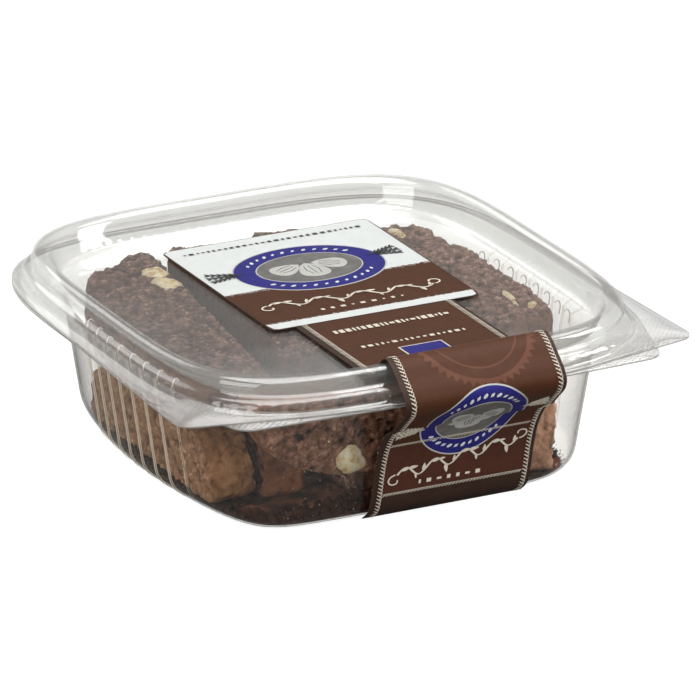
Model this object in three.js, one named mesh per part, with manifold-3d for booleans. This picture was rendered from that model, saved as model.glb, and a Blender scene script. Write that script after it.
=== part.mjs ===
// A shut, clear plastic pack of chocolate and almond biscotti, in millimetres, with +Z up.
// The origin is the middle of the flat base. The front of the pack faces -Y.
import * as THREE from "three";
import { mergeVertices } from "three/addons/utils/BufferGeometryUtils.js";
import Module from "manifold-3d";

// Driving dimensions
const BASE_X = 63.2; // half width of the tub's walls, carried down to the table
const BASE_Y = 64.2; // half depth of the tub's walls, carried down to the table
const DRAFT = 0.15; // how far the walls lean out for each millimetre of height
const FOOT_RADIUS = 9; // round edge between the base and the walls
const SIDE_BOW = 0.0024; // the side walls bow out: millimetres lost for each square millimetre of Y
const FRONT_BOW = 0.0004; // the same for the front and back walls
const WALL_POWER = 10; // squareness of each outline: 2 is an ellipse, more is squarer
const WALL_TOP = 41;
const PLASTIC = 0.5; // thickness of the formed sheet
const RIM_X = 75; // half width of the lid's high rim
const RIM_Y = 80.1;
const RIM_POWER = 4.27;
const RIM_TOP = 55;
const FLANGE_X = 81.3;
const FLANGE_Y = 86.3;
const FLANGE_POWER = 3.9;
const TUB_FLANGE_Z = 44.2;
const LID_FLANGE_Z = 45;
const PANEL_Z = 46.2; // top of the lid's sunken panel
const RIB_COUNT = 8;
const RIB_PITCH = 8.1;
const RIB_MIDDLE = -3.5; // Y of the middle of the row of ribs
const RIB_WIDTH = 1.1;
const RIB_HEIGHT = 0.7;
const RIB_ROOT = 0.25; // how far a rib reaches into the wall
const RING_POINTS = 56;
const CORNER_CROWDING = 0.16; // draws the points of a ring towards its corners

// The finger tabs at the front corners: the flange's edge runs straight out to a round tip.
const LID_TAB = { x: 78.5, y: -70.5, radius: 6.2 };
const TUB_TAB = { x: 64, y: -78, radius: 6.5 };
const TANGENT_STEP = 0.25; // degrees between the tangents tried for a point of a tabbed outline
const TANGENT_SPREAD = 60;

const LABEL_THICKNESS = 0.25;
const LABEL_GAP = 0.3; // between the label and the plastic
const LABEL_FIELD = { left: -26.8, right: 43.1, front: -18.4, back: 58.3, corner: 2.5 };
const STRIP_LEFT = -19.1;
const STRIP_RIGHT = 33.7;
const STRIP_SKEW = 4.3; // how far the strip has drifted to the right at its foot
const SKEW_FROM_Y = -78; // the drift starts here, on the rim's crest
const STRIP_DEPTH = 8; // how far the strip runs on under the field
const STRIP_STEPS = 34;

const wasm = await Module();
wasm.setup();

const toRadians = THREE.MathUtils.degToRad;

// A closed geometry as a solid that can be joined to others.
function solidOf(geometry) {
  const bare = geometry.clone();
  bare.deleteAttribute("normal");
  bare.deleteAttribute("uv");
  const merged = mergeVertices(bare, 1e-4);
  return new wasm.Manifold(
    new wasm.Mesh({
      numProp: 3,
      vertProperties: new Float32Array(merged.attributes.position.array),
      triVerts: new Uint32Array(merged.index.array),
    }),
  );
}

function geometryOf(solid) {
  const mesh = solid.getMesh();
  const geometry = new THREE.BufferGeometry();
  geometry.setAttribute("position", new THREE.BufferAttribute(mesh.vertProperties, 3));
  geometry.setIndex(new THREE.BufferAttribute(mesh.triVerts, 1));
  geometry.computeVertexNormals();
  return geometry;
}

function joined(geometries) {
  return geometryOf(geometries.map(solidOf).reduce((whole, next) => whole.add(next)));
}

// A closed skin over a stack of rings of equal size, shut by a fan at each end.
function loft(rings) {
  const positions = [];
  const index = [];
  const size = rings[0].length;
  rings.flat().forEach((p) => positions.push(p.x, p.y, p.z));
  for (let level = 0; level + 1 < rings.length; level++) {
    for (let i = 0; i < size; i++) {
      const a = level * size + i;
      const b = level * size + ((i + 1) % size);
      index.push(a, b, b + size, a, b + size, a + size);
    }
  }
  [0, rings.length - 1].forEach((level) => {
    const middle = new THREE.Vector3();
    rings[level].forEach((p) => middle.addScaledVector(p, 1 / size));
    const centre = positions.length / 3;
    positions.push(middle.x, middle.y, middle.z);
    for (let i = 0; i < size; i++) {
      const a = level * size + i;
      const b = level * size + ((i + 1) % size);
      index.push(...(level ? [a, b, centre] : [b, a, centre]));
    }
  });
  const geometry = new THREE.BufferGeometry();
  geometry.setAttribute("position", new THREE.Float32BufferAttribute(positions, 3));
  geometry.setIndex(index);
  geometry.computeVertexNormals();
  return geometry;
}

// Plan outlines of the pack

const wallShape = (out) => ({
  x: BASE_X + out,
  y: BASE_Y + out,
  bowX: SIDE_BOW,
  bowY: FRONT_BOW,
  power: WALL_POWER,
});
const rimShape = (out) => ({
  x: RIM_X + out,
  y: RIM_Y + out,
  bowX: 0,
  bowY: 0,
  power: RIM_POWER,
});

// Distance from the middle to the outline, found by halving.
function outlineRadius(shape, angle) {
  const c = Math.abs(Math.cos(angle));
  const s = Math.abs(Math.sin(angle));
  let inside = 0;
  let outside = 1.3 * Math.max(shape.x, shape.y);
  for (let step = 0; step < 40; step++) {
    const radius = (inside + outside) / 2;
    const x = (radius * c) / Math.max(shape.x - shape.bowX * (radius * s) ** 2, 1);
    const y = (radius * s) / Math.max(shape.y - shape.bowY * (radius * c) ** 2, 1);
    if (x ** shape.power + y ** shape.power > 1) outside = radius;
    else inside = radius;
  }
  return inside;
}

// Distance from the middle to the flange's tangent line that faces a direction.
function flangeReach(direction, tab) {
  const across = Math.abs(Math.cos(direction));
  const forward = Math.abs(Math.sin(direction));
  const dual = FLANGE_POWER / (FLANGE_POWER - 1);
  const plain = ((FLANGE_X * across) ** dual + (FLANGE_Y * forward) ** dual) ** (1 / dual);
  return Math.max(plain, tab.x * across + tab.y * Math.sin(direction) + tab.radius);
}

// Distance from the middle to the edge of a flange with tabs: the least one to any tangent line.
function flangeRadius(tab, angle) {
  let radius = Infinity;
  for (let away = -TANGENT_SPREAD; away <= TANGENT_SPREAD; away += TANGENT_STEP) {
    const turn = toRadians(away);
    radius = Math.min(radius, flangeReach(angle + turn, tab) / Math.cos(turn));
  }
  return radius;
}

function ring(radiusAt, z) {
  return Array.from({ length: RING_POINTS }, (_, i) => {
    const even = (2 * Math.PI * i) / RING_POINTS;
    const angle = even + CORNER_CROWDING * Math.sin(4 * even);
    const radius = radiusAt(angle);
    return new THREE.Vector3(radius * Math.cos(angle), radius * Math.sin(angle), z);
  });
}

// A formed sheet: its lower face follows the profile of [shape maker, out, z] steps from the
// middle to the edge, and its upper face comes back one thickness higher along the normals.
function formedSheet(profile, tab, edgeZ) {
  const outline = (shape) => (angle) => outlineRadius(shape, angle);
  const below = profile.map(([shape, out, z]) => ring(outline(shape(out)), z));
  const above = profile.map(([shape, out, z], i) => {
    const last = profile[Math.max(i - 1, 0)];
    const next = profile[Math.min(i + 1, profile.length - 1)];
    const across = halfWidth(next) - halfWidth(last);
    const up = next[2] - last[2];
    const length = Math.hypot(across, up);
    const inner = shape(out - (PLASTIC * up) / length);
    return ring(outline(inner), z + (PLASTIC * across) / length);
  });
  const edge = (angle) => flangeRadius(tab, angle);
  return loft([...below, ring(edge, edgeZ), ring(edge, edgeZ + PLASTIC), ...above.reverse()]);
}

function halfWidth([shape, out]) {
  return shape(out).x;
}

function wallOut(z) {
  const above = Math.max(FOOT_RADIUS - z, 0);
  return DRAFT * z - (FOOT_RADIUS - Math.sqrt(FOOT_RADIUS ** 2 - above ** 2));
}

function tubShell() {
  const foot = [0, 0.9, 2.7, 5.4, FOOT_RADIUS].map((z) => [wallShape, wallOut(z), z]);
  const shoulder = [
    [rimShape, -3.9, TUB_FLANGE_Z - 1.3],
    [rimShape, -1.4, TUB_FLANGE_Z - 0.3],
    [rimShape, 2.4, TUB_FLANGE_Z],
  ];
  const profile = [...foot, [wallShape, wallOut(WALL_TOP), WALL_TOP], ...shoulder];
  return formedSheet(profile, TUB_TAB, TUB_FLANGE_Z);
}

// One upright rib on a side wall, from the round foot up to the shoulder.
function rib(side, y) {
  const wallX = (z) => {
    const shape = wallShape(wallOut(z));
    const corner = (1 - (Math.abs(y) / shape.y) ** shape.power) ** (1 / shape.power);
    return (shape.x - shape.bowX * y * y) * corner;
  };
  const top = WALL_TOP - 1;
  const outer = [
    [wallX(1.6) + 0.1, 1.6 - RIB_HEIGHT / 2],
    [wallX(4) + RIB_HEIGHT, 4 - RIB_HEIGHT / 2],
    [wallX(FOOT_RADIUS) + RIB_HEIGHT, FOOT_RADIUS],
    [wallX(top) + RIB_HEIGHT, top],
  ];
  const inner = [top, FOOT_RADIUS, 4, 1.6].map((z) => [wallX(z) - RIB_ROOT, z]);
  const shape = new THREE.Shape([...outer, ...inner].map(([x, z]) => new THREE.Vector2(x, z)));
  const geometry = new THREE.ExtrudeGeometry(shape, { depth: RIB_WIDTH, bevelEnabled: false });
  geometry.rotateX(Math.PI / 2);
  geometry.translate(0, y + RIB_WIDTH / 2, 0);
  if (side < 0) geometry.rotateZ(Math.PI).translate(0, 2 * y, 0);
  return geometry;
}

function tub() {
  const ribs = [];
  for (let i = 0; i < RIB_COUNT; i++) {
    const y = RIB_MIDDLE + (i - (RIB_COUNT - 1) / 2) * RIB_PITCH;
    ribs.push(rib(1, y), rib(-1, y));
  }
  return joined([tubShell(), ...ribs]);
}

// The lid, from its panel out over the high rim, a groove and a low bead to the flange.
function lid() {
  const under = PANEL_Z - PLASTIC;
  const crest = RIM_TOP - PLASTIC;
  const profile = [
    [rimShape, -9.5, under],
    [rimShape, -7.6, under + 0.7],
    [rimShape, -6.5, under + 2.7],
    [rimShape, -5.2, crest - 2.4],
    [rimShape, -4.2, crest - 0.7],
    [rimShape, -2.6, crest],
    [rimShape, -1.1, crest - 0.7],
    [rimShape, -0.4, crest - 2.2],
    [rimShape, -0.7, crest - 4.4],
    [rimShape, 0.3, crest - 5.4],
    [rimShape, 1.5, crest - 6],
    [rimShape, 2.2, crest - 7.2],
    [rimShape, 2.6, LID_FLANGE_Z + 0.5],
    [rimShape, 3.2, LID_FLANGE_Z],
  ];
  return formedSheet(profile, LID_TAB, LID_FLANGE_Z);
}

// The paper label: a field on the panel and a strip that runs over the rim and down the front.
function labelField() {
  const { left, right, front, back, corner } = LABEL_FIELD;
  const shape = new THREE.Shape();
  shape.moveTo(left + corner, front);
  shape.lineTo(right - corner, front);
  shape.quadraticCurveTo(right, front, right, front + corner);
  shape.lineTo(right, back - corner);
  shape.quadraticCurveTo(right, back, right - corner, back);
  shape.lineTo(left + corner, back);
  shape.quadraticCurveTo(left, back, left, back - corner);
  shape.lineTo(left, front + corner);
  shape.quadraticCurveTo(left, front, left + corner, front);
  const settings = { depth: LABEL_THICKNESS, bevelEnabled: false, curveSegments: 3 };
  return new THREE.ExtrudeGeometry(shape, settings).translate(0, 0, PANEL_Z + LABEL_GAP);
}

// The strip's route in Y and Z: over the rim, out round the flange, back to the wall and down.
function stripRoute() {
  const flat = PANEL_Z + LABEL_GAP;
  const bends = [
    [-58, flat],
    [-65, flat + 0.4],
    [-69.8, flat + 2.4],
    [-72.6, RIM_TOP - 2.6],
    [-75, RIM_TOP + 0.2],
    [-77.8, RIM_TOP + 1],
    [-80.8, RIM_TOP - 0.4],
    [-84, RIM_TOP - 3.6],
    [-87.2, LID_FLANGE_Z + 3],
    [-88.6, LID_FLANGE_Z],
    [-87.4, LID_FLANGE_Z - 3.2],
    [-82.6, 37.4],
    [-76.4, 31.6],
    [-72.2, 25],
    [-69.8, 18],
    [-67.6, FOOT_RADIUS],
    [-65.6, 4.4],
    [-61.8, 1.1],
  ];
  const places = bends.map(([y, z]) => new THREE.Vector3(0, y, z));
  const curve = new THREE.CatmullRomCurve3(places, false, "centripetal");
  const start = new THREE.Vector3(0, LABEL_FIELD.front + STRIP_DEPTH, flat);
  return [start, ...curve.getPoints(STRIP_STEPS)];
}

function labelStrip() {
  const route = stripRoute();
  const rings = route.map((point, i) => {
    const last = route[Math.max(i - 1, 0)];
    const next = route[Math.min(i + 1, route.length - 1)];
    const along = next.clone().sub(last).normalize();
    const normal = new THREE.Vector3(0, along.z, -along.y);
    const fallen = (RIM_TOP - point.z) / RIM_TOP;
    const drift = point.y > SKEW_FROM_Y ? 0 : STRIP_SKEW * fallen;
    const outer = point.clone().addScaledVector(normal, LABEL_THICKNESS);
    const corner = (x, p) => new THREE.Vector3(x + drift, p.y, p.z);
    return [
      corner(STRIP_LEFT, point),
      corner(STRIP_RIGHT, point),
      corner(STRIP_RIGHT, outer),
      corner(STRIP_LEFT, outer),
    ];
  });
  return loft(rings);
}

function label() {
  return joined([labelField(), labelStrip()]);
}

// Biscotti: each is a slice of a flat-based, domed loaf. Its long axis is local X, its flat base
// lies on local Y = 0 with the crust above it, and its two cut faces look along local Z.
const BASE_POINTS = 8;
const CRUST_POINTS = 26;
const CRUST_SAMPLES = 240;
const BASE_CORNER = 2.6; // how far the flat base stops short of the slice's ends
const CUT_EDGE = 1.1; // size of the round edge between a cut face and the crust
const CUT_BULGE = 0.4; // how far the crust stands out half way between the cut faces
const CRUST_RELIEF = 0.8;
const CRUMB_RELIEF = 0.3;
const CRUMB_SCALE = 1.9; // the cut faces are this much finer in their unevenness than the crust

// Waves that make a slice uneven: radians for each millimetre along X, Y and Z, and share
const UNEVEN_WAVES = [
  { x: 0.42, y: 0.31, z: 0.12, share: 0.4 },
  { x: -0.3, y: 0.38, z: 0.21, share: 0.35 },
  { x: 0.17, y: -0.12, z: 0.33, share: 0.25 },
];

// Unevenness between -1 and 1 at a place in a slice; each seed gives its own pattern.
function unevenness(x, y, z, seed) {
  return UNEVEN_WAVES.reduce(
    (sum, wave, i) => sum + wave.share * Math.sin(wave.x * x + wave.y * y + wave.z * z + seed * (i + 1.7)),
    0,
  );
}

// The crust's line from one end over the dome to the other, as closely spaced points.
function crustLine({ length, height, dome, peak = 0 }) {
  const half = length / 2;
  return Array.from({ length: CRUST_SAMPLES + 1 }, (_, i) => {
    const turn = (Math.PI * i) / CRUST_SAMPLES;
    const across = Math.cos(turn);
    const span = across > 0 ? half - peak : half + peak;
    const x = peak + span * Math.sign(across) * Math.abs(across) ** (2 / dome);
    return new THREE.Vector2(x, height * Math.sin(turn) ** (2 / dome));
  });
}

// Evenly spaced points of the crust. A knob swells it, or pinches it where `out` is negative,
// at a share of the way along; a broken slice is cut off square at `breakAt`.
function crustPoints(slice) {
  const line = crustLine(slice);
  const { breakAt = slice.length, knobs = [] } = slice;
  const along = [0];
  for (let i = 1; i < line.length; i++) along.push(along[i - 1] + line[i].distanceTo(line[i - 1]));
  const total = along[line.length - 1];
  return Array.from({ length: CRUST_POINTS }, (_, i) => {
    const share = (i + 0.5) / CRUST_POINTS;
    const place = along.findIndex((way) => way >= share * total);
    const way = line[place].clone().sub(line[place - 1]).normalize();
    const out = knobs.reduce(
      (sum, knob) => sum + knob.out * Math.exp(-(((share - knob.at) / knob.width) ** 2)),
      0,
    );
    const point = line[place].clone().add(new THREE.Vector2(way.y, -way.x).multiplyScalar(out));
    return [Math.min(point.x, breakAt), Math.max(point.y, 0.8)];
  });
}

// The outline of a slice, anticlockwise. `flare` is how far the base spreads towards a break.
function sliceOutline(slice) {
  const { length, breakAt = length, flare = 0 } = slice;
  const left = BASE_CORNER - length / 2;
  const right = Math.min(length / 2, breakAt) - BASE_CORNER;
  const base = Array.from({ length: BASE_POINTS }, (_, i) => {
    const share = i / (BASE_POINTS - 1);
    return [left + (right - left) * share, -flare * share ** 8];
  });
  return [...base, ...crustPoints(slice)];
}

function sliceBody(slice) {
  const outline = sliceOutline(slice);
  const share = 1 / outline.length;
  const middle = outline.reduce(([x, y], p) => [x + p[0] * share, y + p[1] * share], [0, 0]);
  const half = slice.thickness / 2;
  const level = (z, inset, size, crumbRelief) =>
    outline.map(([x, y]) => {
      const fromMiddle = Math.hypot(x - middle[0], y - middle[1]);
      const scale = size * (1 - inset / fromMiddle);
      const px = middle[0] + (x - middle[0]) * scale;
      const py = middle[1] + (y - middle[1]) * scale;
      const onCrust = y > 0.5 && size === 1 ? CRUST_RELIEF * unevenness(px, py, z, slice.seed) : 0;
      const out = onCrust / fromMiddle;
      const crumb = crumbRelief * unevenness(px * CRUMB_SCALE, py * CRUMB_SCALE, z, slice.seed + 2);
      return new THREE.Vector3(px + (x - middle[0]) * out, py + (y - middle[1]) * out, z + crumb);
    });
  return loft([
    level(-half, 0, 0.5, CRUMB_RELIEF),
    level(-half, CUT_EDGE, 1, CRUMB_RELIEF),
    level(-half + CUT_EDGE, 0, 1, 0),
    level(0, -CUT_BULGE, 1, 0),
    level(half - CUT_EDGE, 0, 1, 0),
    level(half, CUT_EDGE, 1, CRUMB_RELIEF),
    level(half, 0, 0.5, CRUMB_RELIEF),
  ]);
}

// A piece of almond half sunk in a cut face: its place there, radii, turn in degrees and side.
const ALMOND_DEPTH = 1.6;
const ALMOND_PROUD = 0.45;

function almond(slice, { x, y, long, wide, turn = 0, face = 1 }) {
  const geometry = new THREE.IcosahedronGeometry(1, 1);
  geometry.scale(long, wide, ALMOND_DEPTH);
  geometry.rotateZ(toRadians(turn));
  const middle = slice.thickness / 2 - ALMOND_DEPTH + ALMOND_PROUD + CRUMB_RELIEF;
  return geometry.translate(x, y, face * middle);
}

const CHOCOLATE = 0x5f4a3c;
const FLAT = 0; // roll of a slice that lies on a cut face
const UPRIGHT = 90; // a slice that stands on its flat base
const ON_CRUST = -90; // a slice that stands on its crust, with the flat base up

// Sizes, and where each slice lies: `at` is the middle of its base line, `heading` turns it about
// the vertical and `roll` about its own length. `dome` is the squareness of the crust's line.
const SLICES = [
  {
    name: "biscotto_left_upper", length: 116, height: 31, thickness: 15, dome: 2.4, peak: 8,
    seed: 1, at: [-33.8, 8.7, 37.1], heading: 82.6, roll: FLAT,
    knobs: [
      { at: 0.12, width: 0.03, out: -5 },
      { at: 0.17, width: 0.03, out: 1.2 },
      { at: 0.3, width: 0.03, out: 0.8 },
    ],
    almonds: [
      { x: 30.4, y: 4.4, long: 5.4, wide: 4.2, turn: 15 },
      { x: 40, y: 5, long: 4.6, wide: 3.9, turn: 30 },
      { x: -20, y: 14, long: 3.2, wide: 2, turn: -30, face: -1 },
    ],
  },
  {
    name: "biscotto_middle_upper", length: 107, height: 27, thickness: 15, dome: 3, peak: -4,
    seed: 2, at: [-23.9, 14.3, 37.1], heading: -93, roll: FLAT, breakAt: 50.5, flare: 6,
    knobs: [{ at: 0.93, width: 0.03, out: -2 }],
    almonds: [
      { x: -20, y: 15, long: 4, wide: 2.6, turn: 30 },
      { x: 24, y: 12, long: 3.2, wide: 2.4, turn: 110 },
      { x: 5, y: 18, long: 3.4, wide: 2.4, turn: 10, face: -1 },
    ],
  },
  {
    name: "biscotto_label_upper", length: 102, height: 24.6, thickness: 15, dome: 3, peak: 0,
    seed: 3, at: [5.8, 16.9, 37.1], heading: -91.5, roll: FLAT,
    almonds: [
      { x: -28, y: 12, long: 3.8, wide: 2.4, turn: 15 },
      { x: 30, y: 9, long: 3, wide: 2.2, turn: 60 },
    ],
  },
  {
    name: "biscotto_right_upper", length: 100, height: 27.8, thickness: 15, dome: 4.5, peak: 0,
    seed: 4, at: [33.4, 5, 37.1], heading: -90, roll: FLAT, breakAt: 42,
    knobs: [
      { at: 0.13, width: 0.05, out: -2.5 },
      { at: 0.37, width: 0.03, out: 1 },
      { at: 0.46, width: 0.025, out: -0.8 },
      { at: 0.62, width: 0.03, out: 1.4 },
      { at: 0.73, width: 0.03, out: -3 },
      { at: 0.84, width: 0.04, out: 1.5 },
    ],
    almonds: [
      { x: 24.5, y: 19, long: 6.2, wide: 1.3, turn: -8 },
      { x: 33, y: 22, long: 3, wide: 1.4, turn: -40 },
      { x: -42, y: 15, long: 4.4, wide: 1.6, turn: 12 },
      { x: 8, y: 15, long: 3.4, wide: 2.4, turn: 40, face: -1 },
    ],
  },
  {
    name: "biscotto_front", length: 88, height: 27, thickness: 14, dome: 2.3, peak: -3,
    seed: 5, at: [-11, -59.1, 43.2], heading: -3, roll: ON_CRUST + 6,
    almonds: [
      { x: -12, y: 22, long: 4.6, wide: 4.1, turn: 15, face: -1 },
      { x: 14, y: 13, long: 3.4, wide: 2.4, turn: 50, face: -1 },
    ],
  },
  {
    name: "biscotto_left_lower", length: 86, height: 23.6, thickness: 14.5, dome: 3, peak: 2,
    seed: 6, at: [-49.8, 2.4, 4.4], heading: 89.5, roll: UPRIGHT - 4,
    almonds: [{ x: 12, y: 12, long: 3.4, wide: 2.4, turn: 30 }],
  },
  {
    name: "biscotto_left_inner", length: 94, height: 25.4, thickness: 14.5, dome: 2.8, peak: -5,
    seed: 7, at: [-31.4, 9, 1.3], heading: 89, roll: UPRIGHT,
    almonds: [{ x: -20, y: 12, long: 3.6, wide: 2.6, turn: 20 }],
  },
  {
    name: "biscotto_middle_lower", length: 104, height: 25.2, thickness: 15, dome: 2.8, peak: 4,
    seed: 8, at: [-8.2, 6, 1.3], heading: 92, roll: UPRIGHT,
    almonds: [{ x: 20, y: 12, long: 3.6, wide: 2.6, turn: 20, face: -1 }],
  },
  {
    name: "biscotto_right_inner", length: 100, height: 25.4, thickness: 14.5, dome: 2.8, peak: 0,
    seed: 9, at: [17.5, 8, 1.3], heading: 89, roll: UPRIGHT,
    almonds: [{ x: 12, y: 14, long: 3.6, wide: 2.6, turn: 100 }],
  },
  {
    name: "biscotto_right_lower", length: 103, height: 24.4, thickness: 15, dome: 4, peak: -3,
    seed: 10, at: [42.1, -3, 2.3], heading: 89, roll: UPRIGHT + 8,
    knobs: [{ at: 0.8, width: 0.045, out: 6.5 }],
    almonds: [{ x: 16, y: 12, long: 4.2, wide: 2.6, turn: 15 }],
  },
];

function biscotto(slice) {
  return joined([sliceBody(slice), ...slice.almonds.map((bit) => almond(slice, bit))]);
}

function placed(mesh, { at, heading, roll }) {
  mesh.rotation.set(toRadians(roll), 0, toRadians(heading), "ZYX");
  mesh.position.set(...at);
  return mesh;
}

function piece(name, geometry, look) {
  const mesh = new THREE.Mesh(geometry, new THREE.MeshStandardMaterial(look));
  mesh.name = name;
  return mesh;
}

const CLEAR_PLASTIC = { color: 0xdededa, roughness: 0.08, metalness: 0, transparent: true, opacity: 0.3 };

const pack = new THREE.Group();
pack.add(piece("tub", tub(), CLEAR_PLASTIC));
pack.add(piece("lid", lid(), CLEAR_PLASTIC));
pack.add(piece("label", label(), { color: 0x5a4034, roughness: 0.45, metalness: 0 }));

const filling = new THREE.Group();
SLICES.forEach((slice) => {
  const look = { color: CHOCOLATE, roughness: 0.85, metalness: 0 };
  filling.add(placed(piece(slice.name, biscotto(slice), look), slice));
});
pack.add(filling);

export default pack;
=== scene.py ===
# A shut, clear plastic pack of chocolate and almond biscotti, dressed for a picture.
# Sizes are in millimetres until mesh_piece turns them into metres. The front faces -Y.
import math
import random
from collections import namedtuple
from math import cos, pi, radians, sin

import bmesh
import bpy
import numpy as np
from mathutils import Euler, Matrix, Vector, noise


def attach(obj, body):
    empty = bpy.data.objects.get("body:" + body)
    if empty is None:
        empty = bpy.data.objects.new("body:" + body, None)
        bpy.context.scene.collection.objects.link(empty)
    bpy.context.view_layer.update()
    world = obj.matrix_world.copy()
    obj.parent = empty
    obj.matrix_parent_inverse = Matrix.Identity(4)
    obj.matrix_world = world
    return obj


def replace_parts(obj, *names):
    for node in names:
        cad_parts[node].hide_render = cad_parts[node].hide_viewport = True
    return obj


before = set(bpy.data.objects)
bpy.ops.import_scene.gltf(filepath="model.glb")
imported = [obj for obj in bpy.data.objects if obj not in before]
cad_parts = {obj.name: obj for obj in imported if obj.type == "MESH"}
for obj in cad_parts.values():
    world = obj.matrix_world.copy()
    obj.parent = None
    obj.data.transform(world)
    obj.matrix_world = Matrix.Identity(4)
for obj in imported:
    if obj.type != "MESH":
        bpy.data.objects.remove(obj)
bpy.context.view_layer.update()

MM = 0.001
WHITE = (1, 1, 1, 1)

# The pack's outlines, as in the solids: half sizes, how much the sides bow, corner power
Outline = namedtuple("Outline", "x y bow_x bow_y power")
WALL = Outline(63.2, 64.2, 0.0024, 0.0004, 10)
RIM = Outline(75, 80.1, 0, 0, 4.27)
FLANGE = Outline(81.3, 86.3, 0, 0, 3.9)
DRAFT = 0.15
FOOT_RADIUS = 9
WALL_TOP = 41
PLASTIC = 0.5
RIM_TOP = 55
TUB_FLANGE_Z = 44.2
LID_FLANGE_Z = 45
PANEL_Z = 46.2
RIB_PITCH = 8.1
RIB_PLACES = -3.5 + RIB_PITCH * (np.arange(8) - 3.5)
RIB_HALF_WIDTH = 0.75
RIB_HEIGHT = 0.7

# The finger tabs: the flange's edge runs straight out to a round tip at each front corner
Tab = namedtuple("Tab", "x y radius")
LID_TAB = Tab(78.5, -70.5, 6.2)
TUB_TAB = Tab(64, -78, 6.5)
TAB_LINES_REACH = 16
TAB_LINES_FADE = 1.5

# The label, in plan on the panel; below STRIP_BEND its Y is the way along the strip
LABEL_LEFT, LABEL_RIGHT = -26.8, 43.1
LABEL_FRONT, LABEL_BACK = -18.4, 58.3
LABEL_CORNER = 2.5
LABEL_THICKNESS = 0.25
LABEL_Z = PANEL_Z + 0.3
STRIP_LEFT, STRIP_RIGHT = -19.1, 33.7
STRIP_SKEW = 4.3
STRIP_BEND = -58
DRIFT_FROM_Y = -78
STRIP_ROUTE = [
    (-58, LABEL_Z), (-65, LABEL_Z + 0.4), (-69.8, LABEL_Z + 2.4), (-72.6, 52.4), (-75, 55.2),
    (-77.8, 56), (-80.8, 54.6), (-84, 51.4), (-87.2, 48), (-88.6, 45), (-87.4, 41.8),
    (-82.6, 37.4), (-76.4, 31.6), (-72.2, 25), (-69.8, 18), (-67.6, 9), (-65.6, 4.4),
    (-61.8, 1.1),
]

# Where each biscotto lies: the middle of its base line, heading, roll, thickness, and its
# almond bits as (x, y, half length, half width, turn, face)
Slice = namedtuple("Slice", "at heading roll thickness almonds")
FLAT = 0
UPRIGHT = 90
ON_CRUST = -90
SLICES = {
    "left_upper": Slice((-33.8, 8.7, 37.1), 82.6, FLAT, 15, [
        (30.4, 4.4, 5.4, 4.2, 15, 1), (40, 5, 4.6, 3.9, 30, 1), (-20, 14, 3.2, 2, -30, -1)]),
    "middle_upper": Slice((-23.9, 14.3, 37.1), -93, FLAT, 15, [
        (-20, 15, 4, 2.6, 30, 1), (24, 12, 3.2, 2.4, 110, 1), (5, 18, 3.4, 2.4, 10, -1)]),
    "label_upper": Slice((5.8, 16.9, 37.1), -91.5, FLAT, 15, [
        (-28, 12, 3.8, 2.4, 15, 1), (30, 9, 3, 2.2, 60, 1)]),
    "right_upper": Slice((33.4, 5, 37.1), -90, FLAT, 15, [
        (24.5, 19, 6.2, 1.3, -8, 1), (33, 22, 3, 1.4, -40, 1), (-42, 15, 4.4, 1.6, 12, 1),
        (8, 15, 3.4, 2.4, 40, -1)]),
    "front": Slice((-11, -59.1, 43.2), -3, ON_CRUST + 6, 14, [
        (-12, 22, 4.6, 4.1, 15, -1), (14, 13, 3.4, 2.4, 50, -1)]),
    "left_lower": Slice((-49.8, 2.4, 4.4), 89.5, UPRIGHT - 4, 14.5, [
        (12, 12, 3.4, 2.4, 30, 1)]),
    "left_inner": Slice((-31.4, 9, 1.3), 89, UPRIGHT, 14.5, [
        (-20, 12, 3.6, 2.6, 20, 1)]),
    "middle_lower": Slice((-8.2, 6, 1.3), 92, UPRIGHT, 15, [
        (20, 12, 3.6, 2.6, 20, -1)]),
    "right_inner": Slice((17.5, 8, 1.3), 89, UPRIGHT, 14.5, [
        (12, 14, 3.6, 2.6, 100, 1)]),
    "right_lower": Slice((42.1, -3, 2.3), 89, UPRIGHT + 8, 15, [
        (16, 12, 4.2, 2.6, 15, 1)]),
}
# The dough of the slices that aren't plain: name, tone, and how even its cut face is
DOUGHS = {
    "front": ("red_biscuit", (1.4, 1.22, 1.06, 1), 0.35),
    "left_lower": ("tan_biscuit", (1.66, 1.62, 1.26, 1), 0.6),
    "left_inner": ("ruddy_biscuit", (1.5, 1.16, 0.96, 1), 0.3),
    # right_lower's tone is painted light: it lifts the slice's colour to stand in for the light falling
    # on it from the right.
    "right_lower": ("painted_lit_biscuit", (2.95, 3.3, 3.6, 1), 0.6),
    "right_upper": ("light_biscuit", (1.36, 1.36, 1.34, 1), 0.2),
}
CRUMB_VOXEL = 0.6
HIDDEN_VOXEL = 1.1
SEEN_CLOSE = ("upper", "front", "left_lower", "right_lower")
ALMOND_DEPTH = 1.6
ALMOND_PROUD = 0.75


# Materials

def srgb(code):
    """A colour for a shader from a web colour code."""
    parts = [int(code[i:i + 2], 16) / 255 for i in (1, 3, 5)]
    return [p / 12.92 if p <= 0.04045 else ((p + 0.055) / 1.055) ** 2.4 for p in parts] + [1]


def empty_material(name):
    """A material without nodes, and its node tree."""
    material = bpy.data.materials.new(name)
    material.use_nodes = True
    material.node_tree.nodes.clear()
    return material, material.node_tree


def node(tree, kind, inputs=None, **settings):
    """A shader node of this kind, with its input sockets linked or set."""
    made = tree.nodes.new("ShaderNode" + kind)
    for key, value in settings.items():
        setattr(made, key, value)
    for key, value in (inputs or {}).items():
        if isinstance(value, bpy.types.NodeSocket):
            tree.links.new(value, made.inputs[key])
        else:
            made.inputs[key].default_value = value
    return made


def finish_material(material, surface):
    node(material.node_tree, "OutputMaterial", {"Surface": surface.outputs[0]})
    return material


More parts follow.
